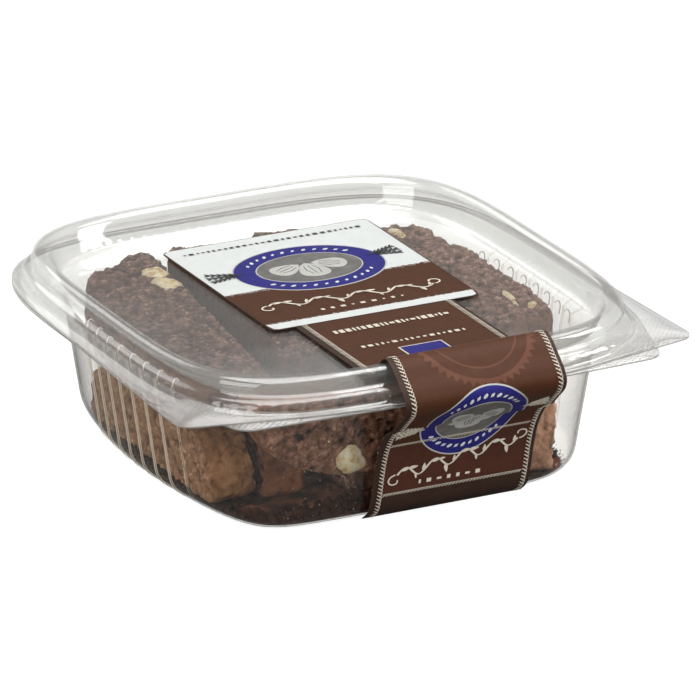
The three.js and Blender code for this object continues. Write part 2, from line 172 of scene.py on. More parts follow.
def object_noise(tree, scale, detail=4, roughness=0.55):
    place = node(tree, "TexCoord").outputs["Object"]
    return node(tree, "TexNoise", {
        "Vector": place, "Scale": scale, "Detail": detail, "Roughness": roughness}).outputs["Fac"]


def uneven_normal(tree, height, strength, depth):
    """The surface's normal on bumps of this height, which are as deep as depth at most."""
    return node(tree, "Bump", {
        "Height": height, "Strength": strength, "Distance": depth}).outputs["Normal"]


def ramp(tree, factor, stops):
    """The colour that a factor has on stops of (position, colour or web colour code)."""
    scale = node(tree, "ValToRGB", {"Fac": factor})
    elements = scale.color_ramp.elements
    while len(elements) < len(stops):
        elements.new(0.5)
    for element, (position, colour) in zip(elements, stops):
        element.position = position
        element.color = srgb(colour) if isinstance(colour, str) else colour
    return scale.outputs["Color"]


def mixed_colours(tree, factor, first, second, blend="MIX"):
    inputs = {0: factor, 6: first, 7: second}
    return node(tree, "Mix", inputs, data_type="RGBA", blend_type=blend).outputs[2]


def maths(tree, operation, *values):
    """A maths node of this kind on sockets or numbers."""
    inputs = dict(enumerate(values))
    return node(tree, "Math", inputs, operation=operation).outputs[0]


def mapped(tree, value, low, high, to_low=0, to_high=1):
    """The value moved from the range low to high to the other range, and held inside it."""
    inputs = {
        "Value": value, "From Min": low, "From Max": high, "To Min": to_low, "To Max": to_high}
    return node(tree, "MapRange", inputs).outputs[0]


def mixed_shaders(tree, share, first, second):
    return node(tree, "MixShader", {0: share, 1: first.outputs[0], 2: second.outputs[0]})


def object_place(tree):
    """The X, Y and Z of a place on the object."""
    place = node(tree, "TexCoord").outputs["Object"]
    return node(tree, "SeparateXYZ", {0: place}).outputs


def tab_lines(tree, tab, pitch, turns, flange_z, depth):
    """Fine crossed lines pressed into the finger tabs at the flange's height: depth on a line,
    0 off it and elsewhere."""
    parts = object_place(tree)
    folded = node(tree, "CombineXYZ", {"X": maths(tree, "ABSOLUTE", parts["X"]), "Y": parts["Y"]})
    away = node(tree, "VectorMath", {
        0: folded.outputs[0], 1: (tab.x * MM, tab.y * MM, 0)}, operation="DISTANCE").outputs["Value"]
    near = mapped(tree, away, TAB_LINES_REACH * MM, (TAB_LINES_REACH - TAB_LINES_FADE) * MM)
    above = maths(tree, "SUBTRACT", parts["Z"], (flange_z + PLASTIC) * MM)
    level = maths(tree, "LESS_THAN", maths(tree, "ABSOLUTE", above), MM)
    level = maths(tree, "MULTIPLY", level, depth)
    lines = []
    for turn in turns:
        turned = node(tree, "Mapping", {
            "Vector": folded.outputs[0], "Rotation": (0, 0, radians(turn))}).outputs[0]
        scale = 2 * pi / (20 * pitch * MM)
        lines.append(node(tree, "TexWave", {"Vector": turned, "Scale": scale}).outputs["Fac"])
    lines = maths(tree, "MAXIMUM", *lines)
    return maths(tree, "MULTIPLY", maths(tree, "MULTIPLY", near, level), lines)


def haze_and_painted_light_sheet(tree, tint, white, share):
    """It lets light straight through, tinted, but for this share that white spreads: on a clear sheet
    that is its haze, on a rib or a cut edge it is painted light.
    """
    through = node(tree, "BsdfTransparent", {"Color": srgb(tint)})
    milky = node(tree, "BsdfDiffuse", {"Color": srgb(white)})
    return mixed_shaders(tree, share, through, milky)


def clear_plastic(name, haze, tint, pressed_lines):
    """A thin clear sheet that shines and is a little milky."""
    material, tree = empty_material(name)
    pressed = tab_lines(tree, *pressed_lines)
    wavy = uneven_normal(tree, object_noise(tree, 45, 1), 0.25, MM)
    bump = node(tree, "Bump", {
        "Height": pressed, "Strength": 0.4, "Distance": 0.3 * MM, "Normal": wavy})
    facing = node(tree, "LayerWeight", {"Blend": 0.5}).outputs["Facing"]
    cloud = maths(tree, "MULTIPLY_ADD", pressed, 0.4, haze)
    body = haze_and_painted_light_sheet(tree, tint, "#F4F3F1", cloud)
    shine = node(tree, "BsdfGlossy", {
        "Color": WHITE, "Roughness": 0.06, "Normal": bump.outputs["Normal"]})
    mirrored = maths(tree, "MULTIPLY_ADD", maths(tree, "POWER", facing, 5.0), 0.9, 0.05)
    return finish_material(material, mixed_shaders(tree, mirrored, body, shine))


def painted_light_plastic(name, tint, white, share):
    """Painted light on plastic where it gathers light, at a cut edge or a rib: part tinted, part white.
    The white on a rib is a painted highlight, and the grey at a cut edge is a painted line of light and
    shade.
    """
    material, tree = empty_material(name)
    return finish_material(material, haze_and_painted_light_sheet(tree, tint, white, share))


def biscuit_material(name, tone, even=0):
    """Baked chocolate dough: crumbly and pale where cut, smooth and darker on the crust. Even is
    how far the cut face's speckle is lost, as on a face pressed to the wall."""
    material, tree = empty_material(name)
    cut = node(tree, "Attribute", attribute_name="cut").outputs["Fac"]
    height = node(tree, "Attribute", attribute_name="relief").outputs["Fac"]
    speckle = object_noise(tree, 750, 5, 0.7)
    patches = object_noise(tree, 260, 4, 0.65)
    crumb = ramp(tree, speckle, [
        (0.34, "#543A2F"), (0.45, "#85675A"), (0.56, "#A2847A"), (0.67, "#DEC6BA")])
    broad = ramp(tree, patches, [(0.38, "#988C86"), (0.58, "#FFFFFF")])
    crumb = mixed_colours(tree, 1.0, crumb, broad, "MULTIPLY")
    crumb = mixed_colours(tree, even, crumb, srgb("#886A5A"))
    crust = ramp(tree, object_noise(tree, 330, 6, 0.7), [
        (0.32, "#4C3226"), (0.4, "#785642"), (0.64, "#8E6C54")])
    colour = mixed_colours(tree, cut, crust, crumb)
    # Painted shade and highlight: the relief's hollows are darkened and its peaks lightened in the
    # colour, as light would fall on them.
    shade = ramp(tree, height, [
        (0.1, "#46382F"), (0.34, "#B4A8A0"), (0.55, "#ECE4DE"), (0.85, "#FFFFFF")])
    colour = mixed_colours(tree, 1.0, colour, shade, "MULTIPLY")
    colour = mixed_colours(tree, 1.0, colour, tone, "MULTIPLY")
    normal = uneven_normal(tree, object_noise(tree, 1000, 4, 0.65), 0.7, 0.5 * MM)
    surface = node(tree, "BsdfPrincipled", {
        "Base Color": colour, "Roughness": 0.9, "Specular IOR Level": 0.06, "Normal": normal})
    return finish_material(material, surface)


def dust_material():
    """Cocoa dust and crumbs on the plastic, whole on the floor and patchy up the round foot."""
    material, tree = empty_material("crumb_dust")
    thick = mapped(tree, object_place(tree)["Z"], 1.2 * MM, 4.5 * MM, 0.75, 0.3)
    grain = object_noise(tree, 420, 4, 0.7)
    cover = maths(tree, "MULTIPLY_ADD", maths(tree, "SUBTRACT", thick, grain), 9.0, 0.5)
    clear = node(tree, "BsdfTransparent", {"Color": WHITE})
    colour = ramp(tree, object_noise(tree, 120, 3, 0.5), [
        (0.4, "#44281B"), (0.54, "#7C4C36"), (0.66, "#A8724E")])
    dust = node(tree, "BsdfPrincipled", {
        "Base Color": colour, "Roughness": 0.9, "Specular IOR Level": 0.06})
    return finish_material(material, mixed_shaders(tree, mapped(tree, cover, 0, 1), clear, dust))


def almond_material():
    material, tree = empty_material("almond")
    colour = ramp(tree, object_noise(tree, 380, 4, 0.65), [
        (0.34, "#C49E64"), (0.46, "#ECD6A6"), (0.62, "#FCF2D6")])
    normal = uneven_normal(tree, object_noise(tree, 1400, 3), 0.3, 0.3 * MM)
    surface = node(tree, "BsdfPrincipled", {
        "Base Color": colour, "Roughness": 0.55, "Normal": normal})
    return finish_material(material, surface)


def print_material(name, code, variation=0.06, roughness=0.5):
    """Printed paper with a faint mottle and a satin varnish."""
    material, tree = empty_material(name)
    base = srgb(code)
    dark = [c * (1 - variation) for c in base[:3]] + [1]
    light = [min(c * (1 + variation), 1) for c in base[:3]] + [1]
    colour = ramp(tree, object_noise(tree, 260, 3), [(0.35, dark), (0.65, light)])
    normal = uneven_normal(tree, object_noise(tree, 160, 2), 0.12, MM)
    surface = node(tree, "BsdfPrincipled", {
        "Base Color": colour, "Roughness": roughness, "Specular IOR Level": 0.1, "Normal": normal})
    return finish_material(material, surface)


# Meshes

def linked_object(name, data):
    thing = bpy.data.objects.new(name, data)
    bpy.context.scene.collection.objects.link(thing)
    return thing


def new_object(name, mesh, material):
    mesh.materials.append(material)
    return linked_object(name, mesh)


def riding_piece(name, mesh, material):
    """A piece of the model, which rides on the pack."""
    piece = new_object(name, mesh, material)
    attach(piece, "root")
    return piece


def mesh_piece(name, points, faces, material):
    """A smooth piece from points in millimetres."""
    mesh = bpy.data.meshes.new(name)
    mesh.from_pydata((np.asarray(points, float) * MM).tolist(), [], faces)
    mesh.update()
    mesh.polygons.foreach_set("use_smooth", [True] * len(mesh.polygons))
    return riding_piece(name, mesh, material)


def bmesh_piece(name, bm, material):
    """A piece from a bmesh that is done with."""
    mesh = bpy.data.meshes.new(name)
    bm.to_mesh(mesh)
    bm.free()
    return riding_piece(name, mesh, material)


def spline(points, steps):
    """A smooth line through the points, by Catmull-Rom with centripetal spacing."""
    points = np.asarray(points, float)
    ends = (2 * points[0] - points[1], 2 * points[-1] - points[-2])
    padded = np.vstack([ends[0], points, ends[1]])
    line = []
    for p0, p1, p2, p3 in zip(padded, padded[1:], padded[2:], padded[3:]):
        d0, d1, d2 = (max(np.linalg.norm(b - a), 1e-6) ** 0.5 for a, b in ((p0, p1), (p1, p2), (p2, p3)))
        leave = ((p1 - p0) / d0 - (p2 - p0) / (d0 + d1) + (p2 - p1) / d1) * d1
        arrive = ((p2 - p1) / d1 - (p3 - p1) / (d1 + d2) + (p3 - p2) / d2) * d1
        for t in np.arange(steps) / steps:
            cube = (2 * p1 - 2 * p2 + leave + arrive) * t**3
            square = (3 * p2 - 3 * p1 - 2 * leave - arrive) * t**2
            line.append(cube + square + leave * t + p1)
    line.append(points[-1])
    return np.array(line)


# The formed sheets

def grown(outline, out):
    return outline._replace(x=outline.x + out, y=outline.y + out)


def on_outline(outline, starts, ways):
    """Where rays from inside meet the outline, found by halving."""
    near = np.zeros(len(starts))
    far = np.full(len(starts), 1.4 * outline.y)
    for _ in range(36):
        middle = (near + far) / 2
        x, y = (starts + ways * middle[:, None]).T
        half_x = np.maximum(outline.x - outline.bow_x * y**2, 1)
        half_y = np.maximum(outline.y - outline.bow_y * x**2, 1)
        outside = (np.abs(x) / half_x) ** outline.power + (np.abs(y) / half_y) ** outline.power > 1
        far = np.where(outside, middle, far)
        near = np.where(outside, near, middle)
    return starts + ways * near[:, None]


def on_tabbed_flange(tab, starts, ways):
    """Where rays from inside meet the flange's edge: the nearest of its tangent lines."""
    turns = np.radians(np.arange(0, 360, 0.25))
    normals = np.column_stack([np.cos(turns), np.sin(turns)])
    across, forward = np.abs(normals).T
    dual = FLANGE.power / (FLANGE.power - 1)
    plain = ((FLANGE.x * across) ** dual + (FLANGE.y * forward) ** dual) ** (1 / dual)
    reach = np.maximum(plain, tab.x * across + tab.y * normals[:, 1] + tab.radius)
    towards = ways @ normals.T
    far = (reach - starts @ normals.T) / np.maximum(towards, 0.05)
    return starts + ways * np.where(towards > 0.05, far, np.inf).min(axis=1)[:, None]


LID_COLUMNS = 720


def even_columns(count):
    angles = np.arange(count) * 2 * pi / count
    return np.zeros((count, 2)), np.column_stack([np.cos(angles), np.sin(angles)])


def ribbed_columns():
    """Rays that run square to the side walls at the ribs, and spread from the middle elsewhere."""
    offsets = np.linspace(-1, 1, 11) * RIB_HALF_WIDTH
    gaps = np.array([1.6, 2.8, 4.2, 5.6, 6.8])
    side_y = np.concatenate([y + offsets for y in RIB_PLACES] + [y + gaps for y in RIB_PLACES[:-1]])
    side_y = np.sort(np.concatenate([side_y, [RIB_PLACES[0] - 2, RIB_PLACES[-1] + 2]]))
    dense_start, dense_way = even_columns(14400)
    base = on_outline(WALL, dense_start, dense_way)
    right = base[(base[:, 0] > 0) & (np.abs(base[:, 1]) < 50)]
    right = right[np.argsort(right[:, 1])]
    side = np.column_stack([np.interp(side_y, right[:, 1], right[:, 0]), side_y])
    limit = side_y[-1]
    rest = base[np.abs(base[:, 1]) > limit + 0.8][::26]
    base = np.vstack([side, side * [-1, 1], rest])
    base = base[np.argsort(np.arctan2(base[:, 1], base[:, 0]))]
    spread = np.clip((np.abs(base[:, 1]) - limit) / 16, 0, 1) ** 2
    starts = np.column_stack([np.zeros(len(base)), base[:, 1] * (1 - spread)])
    ways = base - starts
    return starts, ways / np.linalg.norm(ways, axis=1)[:, None]


def formed_sheet(profile, tab, edge_z, columns, bumps):
    """A sheet of plastic along a profile of (outline, out, z) steps from the middle to the edge."""
    starts, ways = columns

    def ring(outline, out, z):
        points = on_outline(grown(outline, out), starts, ways)
        points = points + ways * bumps(starts, ways, z)[:, None]
        return np.column_stack([points, np.full(len(points), z)])

    below = [ring(*step) for step in profile]
    above = []
    for i, (outline, out, z) in enumerate(profile):
        last = profile[max(i - 1, 0)]
        following = profile[min(i + 1, len(profile) - 1)]
        across = following[0].x + following[1] - last[0].x - last[1]
        up = following[2] - last[2]
        slope = math.hypot(across, up)
        above.append(ring(outline, out - PLASTIC * up / slope, z + PLASTIC * across / slope))
    rim = on_tabbed_flange(tab, starts, ways)
    edges = [np.column_stack([rim, np.full(len(rim), z)]) for z in (edge_z, edge_z + PLASTIC)]
    points, faces = loft(below + edges + above[::-1])
    first_edge = len(below) * len(starts)
    return points, faces, range(first_edge, first_edge + len(starts))


def loft(rings):
    """A closed skin over a stack of rings, shut by a fan at each end."""
    size = len(rings[0])
    faces = []
    for level in range(len(rings) - 1):
        for i in range(size):
            a = level * size + i
            b = level * size + (i + 1) % size
            faces.append((a, b, b + size, a + size))
    points = np.vstack(rings + [rings[0].mean(axis=0), rings[-1].mean(axis=0)])
    top = (len(rings) - 1) * size
    for i in range(size):
        faces.append(((i + 1) % size, i, len(points) - 2))
        faces.append((top + i, top + (i + 1) % size, len(points) - 1))
    return points, faces


def wall_out(z):
    foot = 0
    if z < FOOT_RADIUS:
        foot = FOOT_RADIUS - math.sqrt(FOOT_RADIUS**2 - (FOOT_RADIUS - z) ** 2)
    return DRAFT * z - foot


def rib_bumps(starts, ways, z):
    """How far the ribs push the side walls out at this height."""
    away = np.abs(starts[:, 1][:, None] - RIB_PLACES).min(axis=1)
    across = np.clip(1 - away / RIB_HALF_WIDTH, 0, 1)
    square = np.abs(ways[:, 0]) > 0.9999
    rise = np.clip((z - 1.2) / 3, 0, 1) * np.clip((WALL_TOP + 2.8 - z) / 1.5, 0, 1)
    ridge = across * across * (3 - 2 * across)
    return np.where(square, RIB_HEIGHT * rise * ridge, 0)


NOTCH_PITCH = 3.9
NOTCH_DEPTH = 0.22
NOTCH_Z = PANEL_Z + 1.1


def rim_notches(starts, ways, z):
    """A row of short dents round the foot of the rim's inner wall."""
    turns = np.arctan2(ways[:, 1], ways[:, 0])
    count = round(2 * pi * RIM.y / NOTCH_PITCH)
    dashes = np.clip(3 * np.cos(turns * count), 0, 1)
    return NOTCH_DEPTH * dashes * max(1 - abs(z - NOTCH_Z) / 1.1, 0)


def tub_profile():
    foot = [FOOT_RADIUS * (1 - cos(radians(a))) for a in range(0, 90, 9)]
    wall = np.linspace(FOOT_RADIUS, WALL_TOP, 14)
    steps = [(WALL, wall_out(z), z) for z in [*foot, *wall]]
    shoulder = spline([(-4.4, 42.2), (-3.9, 42.9), (-1.4, 43.9), (2.4, TUB_FLANGE_Z)], 4)
    return steps + [(RIM, out, z) for out, z in shoulder]


def lid_profile():
    under = PANEL_Z - PLASTIC
    crest = RIM_TOP - PLASTIC
    bends = [
        (-9.5, under), (-7.6, under + 0.7), (-6.5, under + 2.7), (-5.2, crest - 2.4),
        (-4.2, crest - 0.7), (-2.6, crest), (-1.1, crest - 0.7), (-0.4, crest - 2.2),
        (-0.7, crest - 4.4), (0.3, crest - 5.4), (1.5, crest - 6), (2.2, crest - 7.2),
        (2.6, LID_FLANGE_Z + 0.5), (3.2, LID_FLANGE_Z),
    ]
    return [(RIM, out, z) for out, z in spline(bends, 4)]


def sheet_piece(name, sheet, materials, kind_of):
    """A formed sheet in several materials: the last one is for its cut edge, and kind_of picks
    the number of the one for each other face from the face's middle, in millimetres."""
    points, faces, edge = sheet
    piece = mesh_piece(name, points, faces, materials[0])
    for material in materials[1:]:
        piece.data.materials.append(material)
    middles = np.zeros(len(faces) * 3)
    piece.data.polygons.foreach_get("center", middles)
    kinds = kind_of(*(middles.reshape(-1, 3) / MM).T)
    kinds[list(edge)] = len(materials) - 1
    piece.data.polygons.foreach_set("material_index", kinds)
    return piece


def tub_kind(x, y, z):
    """1 on the flank of a rib, which carries a painted highlight, 2 on the shoulder and the flange, else
    0.
    """
    from_rib = y[:, None] - RIB_PLACES
    on_flank = ((from_rib > -RIB_HALF_WIDTH * 0.45) & (from_rib < 0)).any(axis=1)
    kinds = np.where(on_flank & (np.abs(x) > 50) & (z > 2) & (z < WALL_TOP + 2.4), 1, 0)
    return np.where((kinds == 0) & (z > WALL_TOP + 1.4), 2, kinds)


def lid_kind(x, y, z):
    """1 on the raised rim and the flange, 0 on the flat panel."""
    return np.where((z > PANEL_Z + 0.6) | (z < PANEL_Z - 0.6), 1, 0)


def build_tub(*materials):
    sheet = formed_sheet(tub_profile(), TUB_TAB, TUB_FLANGE_Z, ribbed_columns(), rib_bumps)
    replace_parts(sheet_piece("formed_tub", sheet, materials, tub_kind), "tub")


def build_lid(*materials):
    sheet = formed_sheet(lid_profile(), LID_TAB, LID_FLANGE_Z, even_columns(LID_COLUMNS), rim_notches)
    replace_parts(sheet_piece("formed_lid", sheet, materials, lid_kind), "lid")


# A rib's curled top, as (way in from the wall, height)
RIB_HOOK = [(0.3, 38.4), (0.3, 41), (0.6, 42.2), (1.2, 42.8), (1.9, 42.6), (2.2, 42.1)]
HOOK_RADIUS = 0.2


def build_rib_hooks(material):
    """The curled tops of the ribs, inside the tub's shoulder."""
    hook = spline(RIB_HOOK, 4)
    way = np.gradient(hook, axis=0)
    way /= np.linalg.norm(way, axis=1)[:, None]
    sides = np.radians(np.arange(0, 360, 60))
    points, faces = [], []
    for side in (-1, 1):
        for rib_y in RIB_PLACES:
            wall_x = WALL.x - WALL.bow_x * rib_y**2 - PLASTIC
            rings = []
            for (inward, z), (way_in, way_up) in zip(hook, way):
                across = HOOK_RADIUS * np.cos(sides)
                x = wall_x + wall_out(min(z, WALL_TOP)) - inward + across * way_up
                y = rib_y + HOOK_RADIUS * np.sin(sides)
                rings.append(np.column_stack([side * x, y, z + across * way_in]))
            tube_points, tube_faces = loft(rings)
            faces += [[i + len(points) for i in face][::side] for face in tube_faces]
            points += tube_points.tolist()
    mesh_piece("rib_hooks", points, faces, material)


# The label, drawn flat and then laid along its route

ROUTE = spline(STRIP_ROUTE, 12)
ROUTE_LENGTH = np.concatenate([[0], np.cumsum(np.linalg.norm(np.diff(ROUTE, axis=0), axis=1))])
ROUTE_END = STRIP_BEND - ROUTE_LENGTH[-1]


def label_point(x, y, lift):
    """The place of a point of the flat label once it is laid on the pack."""
    if y >= STRIP_BEND:
        return Vector((x, y, LABEL_Z + LABEL_THICKNESS + lift))
    along = STRIP_BEND - y
    step = 0.5
    here, ahead, behind = (
        np.array([np.interp(s, ROUTE_LENGTH, ROUTE[:, i]) for i in (0, 1)])
        for s in (along, along + step, along - step)
    )
    way = ahead - behind
    way = way / np.linalg.norm(way)
    out = np.array([way[1], -way[0]]) * (LABEL_THICKNESS + lift)
    drift = 0 if here[0] > DRIFT_FROM_Y else STRIP_SKEW * (RIM_TOP - here[1]) / RIM_TOP
    return Vector((x + drift, here[0] + out[0], here[1] + out[1]))


PRINT_DEPTH = 0.05
FIRST_CUT = STRIP_BEND + 0.5
CUT_PITCH = 0.8


def printed(name, shapes, lift, material, depth=PRINT_DEPTH):
    """One piece of flat shapes in label coordinates, cut across where the strip bends, and laid
    on the pack with its top at this lift above the paper."""
    bm = bmesh.new()
    for shape in shapes:
        bm.faces.new([bm.verts.new((x, y, 0)) for x, y in shape])
    bm.normal_update()
    bmesh.ops.triangulate(bm, faces=bm.faces)
    lowest = min(v.co.y for v in bm.verts)
    y = FIRST_CUT
    while y > lowest:
        bmesh.ops.bisect_plane(
            bm, geom=bm.verts[:] + bm.edges[:] + bm.faces[:], plane_co=(0, y, 0), plane_no=(0, 1, 0))
        y -= CUT_PITCH
    bottom = bmesh.ops.extrude_face_region(bm, geom=bm.faces[:])["geom"]
    moved = {v for v in bottom if isinstance(v, bmesh.types.BMVert)}
    for v in bm.verts:
        v.co = label_point(v.co.x, v.co.y, lift if v in moved else lift - depth) * MM
    bmesh.ops.recalc_face_normals(bm, faces=bm.faces)
    return bmesh_piece(name, bm, material)


def polar(turn, reach=1):
    """A step of this reach in the direction turn, in degrees."""
    return np.array([cos(radians(turn)), sin(radians(turn))]) * reach


def rectangle(left, right, bottom, top):
    return [(left, bottom), (right, bottom), (right, top), (left, top)]


def rounded_rectangle(left, right, bottom, top, radius):
    corners = [(right, bottom, -90), (right, top, 0), (left, top, 90), (left, bottom, 180)]
    outline = []
    for x, y, first in corners:
        centre = (x + (radius if x == left else -radius), y + (radius if y == bottom else -radius))
        outline += [polar(turn, radius) + centre for turn in range(first, first + 91, 18)]
    return outline


def turned_points(x, y, turn, points):
    """Points round the origin, turned by degrees and moved to x, y."""
    a = radians(turn)
    return [
        (x + px * cos(a) - py * sin(a), y + px * sin(a) + py * cos(a))
        for px, py in points
    ]


def ellipse(x, y, half_x, half_y, turn=0, count=72):
    angles = [2 * pi * i / count for i in range(count)]
    return turned_points(x, y, turn, [(half_x * cos(a), half_y * sin(a)) for a in angles])


def almond_outline(x, y, length, width, turn, count=28):
    """A nut shape, round at one end and pointed at the other."""
    points = []
    for i in range(count):
        a = 2 * pi * i / count
        narrowing = (1 - 0.45 * cos(a)) * (1 if cos(a) < 0.9 else 0.7)
        points.append((length / 2 * cos(a), width / 2 * sin(a) * narrowing))
    return turned_points(x, y, turn, points)


def stroke(line, widths):
    """Quads along a line of points, each as wide as its entry in widths."""
    line = np.asarray(line, float)
    way = np.gradient(line, axis=0)
    way /= np.maximum(np.linalg.norm(way, axis=1), 1e-9)[:, None]
    side = np.column_stack([-way[:, 1], way[:, 0]]) * np.asarray(widths)[:, None] / 2
    left, right = line + side, line - side
    return list(zip(left, right, right[1:], left[1:]))


def torn_edge(left, right, y, top, seed, roughness=0.35):
    """A field from y up to top whose lower edge is ragged."""
    draw = random.Random(seed)
    edge = []
    x = left
    while x < right:
        edge.append((x, y + draw.uniform(-roughness, roughness)))
        x += draw.uniform(0.25, 0.6)
    return [*edge, (right, y), (right, top), (left, top)]


def specks(left, right, y, count, seed):
    """Grains of paper colour just below a torn edge."""
    draw = random.Random(seed)
    grains = []
    for _ in range(count):
        x = draw.uniform(left, right)
        drop = abs(draw.gauss(0, 0.5)) + 0.3
        size = draw.uniform(0.08, 0.2)
        grains.append(rectangle(x, x + size * 1.6, y - drop, y - drop + size))
    return grains


def rope(start, end, width, pitch):
    """Slanted strands in a row, as on a twisted cord."""
    start, end = np.array(start, float), np.array(end, float)
    length = np.linalg.norm(end - start)
    along = (end - start) / length
    side = np.array([-along[1], along[0]])
    strands = []
    for i in range(int(length / pitch)):
        centre = start + along * pitch * (i + 0.5)
        reach, thick = width / 2, pitch * 0.26
        slant = pitch * 0.45
        for share, way in ((1, 1), (0.45, -1)):
            middle = centre - side * reach * (1 - share) * way
            tip = side * reach * share + along * way * (slant + thick * 0.4)
            heel = side * reach * share * 0.8 + along * way * (slant - thick)
            strands.append([tuple(middle + c) for c in (-tip, -heel, tip, heel)])
    return strands


def dash_row(left, right, y, height, seed, gap=0.75):
    """Short upright dashes and dots in a row."""
    draw = random.Random(seed)
    dashes = []
    x = left
    while x < right:
        width = draw.choice([0.7, 1.1, 1.5])
        tall = height * draw.choice([0.55, 1, 1])
        dashes.append(rectangle(x, x + width, y - tall / 2, y + tall / 2))
        x += width + gap
    return dashes


SPRIG_LEAVES = 5


def sprig(x, y, length, turn, size):
    """A stem with pairs of small leaves."""
    stem = polar(turn, length)
    shapes = stroke([stem * t + (x, y) for t in np.linspace(0, 1, 8)], np.full(8, 0.25))
    for i in range(SPRIG_LEAVES):
        root = stem * (0.25 + 0.75 * i / SPRIG_LEAVES) + (x, y)
        for angle in (turn - 32, turn + 32):
            centre = root + polar(angle, size) * 0.9
            shapes.append(ellipse(*centre, size, size * 0.3, angle, 10))
    return shapes


def sprig_fan(x, y, length, turns, size):
    """Sprigs that spread from one place."""
    return [shape for turn in turns for shape in sprig(x, y, length, turn, size)]


def vine(left, right, y_left, y_right, height, width):
    """A waving stem with leaves on both sides and a curl at each end."""
    waves = 4
    t = np.linspace(0, 1, 200)
    x = left + (right - left) * t
    y = y_left + (y_right - y_left) * t + height * 0.3 * np.sin(t * waves * 2 * pi)
    widths = width * (0.5 + 0.5 * np.abs(np.cos(t * waves * 2 * pi)))
    shapes = stroke(np.column_stack([x, y]), widths)
    for i in range(waves * 4):
        root = round((i + 0.5) / (waves * 4) * len(t))
        heading = math.degrees(math.atan2(y[root] - y[root - 1], x[root] - x[root - 1]))
        turn = heading + (42 if i % 2 else -42)
        reach = height * (0.2 + 0.05 * sin(i * 2.3))
        leaf = polar(turn, reach) + (x[root], y[root])
        shapes.append(almond_outline(*leaf, reach * 1.9, reach * 0.75, turn, 16))
    for end, side in ((0, -1), (-1, 1)):
        turn = np.linspace(0, 1.6 * pi, 26)
        radius = height * 0.42 * (1 - turn / (2.2 * pi))
        curl = np.column_stack([
            x[end] + side * (height * 0.1 + radius * np.sin(turn)),
            y[end] + height * 0.3 * side - radius * np.cos(turn) * side * 0.8])
        shapes += stroke(curl, np.full(26, width * 0.7))
    return shapes


def badge_shapes(x, y, half_x, half_y):
    """An oval badge, as the shapes of each of its parts."""
    nuts = [
        almond_outline(x + half_x * right, y + half_y * up, half_x * length, half_y * width, turn)
        for right, up, length, width, turn in BADGE_NUTS
    ]
    veins = []
    for nut in nuts:
        middle = np.mean(nut, axis=0)
        tail, nose = np.array(nut[len(nut) // 2]), np.array(nut[0])
        for share in (-0.5, 0, 0.5):
            side = np.array([-(nose - tail)[1], (nose - tail)[0]]) * 0.22 * share
            first, last = (middle + (end - middle) * 0.6 + side for end in (tail, nose))
            veins += stroke([first, middle + side * 1.6, last], [0.22, 0.3, 0.22])
    dots = []
    for start in (35, 215):
        for i in range(BADGE_DOTS):
            a = radians(start + 110 * i / (BADGE_DOTS - 1))
            cx, cy = x + half_x * 0.84 * cos(a), y + half_y * 0.83 * sin(a)
            turn = math.degrees(math.atan2(half_y * cos(a), -half_x * sin(a)))
            dots.append(ellipse(cx, cy, 0.95, 0.55, turn + 45, 4 if i % 2 else 12))
    return {
        "outline": [ellipse(x, y, half_x + 0.5, half_y + 0.5)],
        "ring": [ellipse(x, y, half_x, half_y)],
        "inner_outline": [ellipse(x, y, half_x * 0.7 + 0.4, half_y * 0.64 + 0.4)],
        "inner": [ellipse(x, y, half_x * 0.7, half_y * 0.64)],
        "nuts": nuts,
        "veins": veins,
        "dots": dots,
    }


# Each ink's colour, then its mottle and roughness where they aren't the usual ones
INKS = {
    "margin": ("#423028",), "brown": ("#50301F",), "band": ("#543328",),
    "white": ("#E6EAE8", 0.02, 0.45), "cream": ("#E9E0D0", 0.04), "silver": ("#C9C9C4", 0.04),
    "grey": ("#777572", 0.15), "indigo": ("#2E2C7C",), "ink": ("#4B4B4C", 0.1),
    "faint": ("#6A4332", 0.05),
}
PRINT_INSET = 0.45
PRINT_LEFT, PRINT_RIGHT = LABEL_LEFT + PRINT_INSET, LABEL_RIGHT - PRINT_INSET
PRINT_FRONT, PRINT_BACK = LABEL_FRONT + PRINT_INSET, LABEL_BACK - PRINT_INSET
ROPE_LEFT, ROPE_RIGHT = -16.6, 31.6
ROPE_WIDTH = 1.7
TORN_Y = 14.8
BAR_TOP = -13.4
FIRST_LINE_Y = -121
SECOND_LINE_Y = -139.4
# Each badge's middle and half sizes
BADGES = [(7.7, 26, 24, 18.4), (8, -112, 15.6, 16.6)]
# A badge's nuts: place, length and width as shares of its half sizes, and turn
BADGE_NUTS = [(-0.3, 0.06, 0.46, 0.42, 25), (0.3, 0.06, 0.46, 0.42, 155), (0, -0.12, 0.5, 0.48, 90)]
BADGE_DOTS = 12
# A badge's parts with their lift and ink
BADGE_LAYERS = [
    ("outline", 0.09, "silver"), ("ring", 0.12, "indigo"), ("inner_outline", 0.15, "silver"),
    ("inner", 0.18, "grey"), ("nuts", 0.21, "silver"), ("veins", 0.24, "ink"), ("dots", 0.15, "white"),
]
ORNAMENT_LIFT = 0.27
ORNAMENT_DEPTH = 0.06
# The faint ring's middle, its teeth, and its inner circles with their radius, lift and ink
SUN = (10, -75.5)
SUN_TEETH = 48
SUN_CIRCLES = [
    ("gap", 17.8, 0.07, "brown"), ("ring", 14.6, 0.09, "faint"), ("middle", 14, 0.11, "brown")]
SUN_DEPTH = 0.03


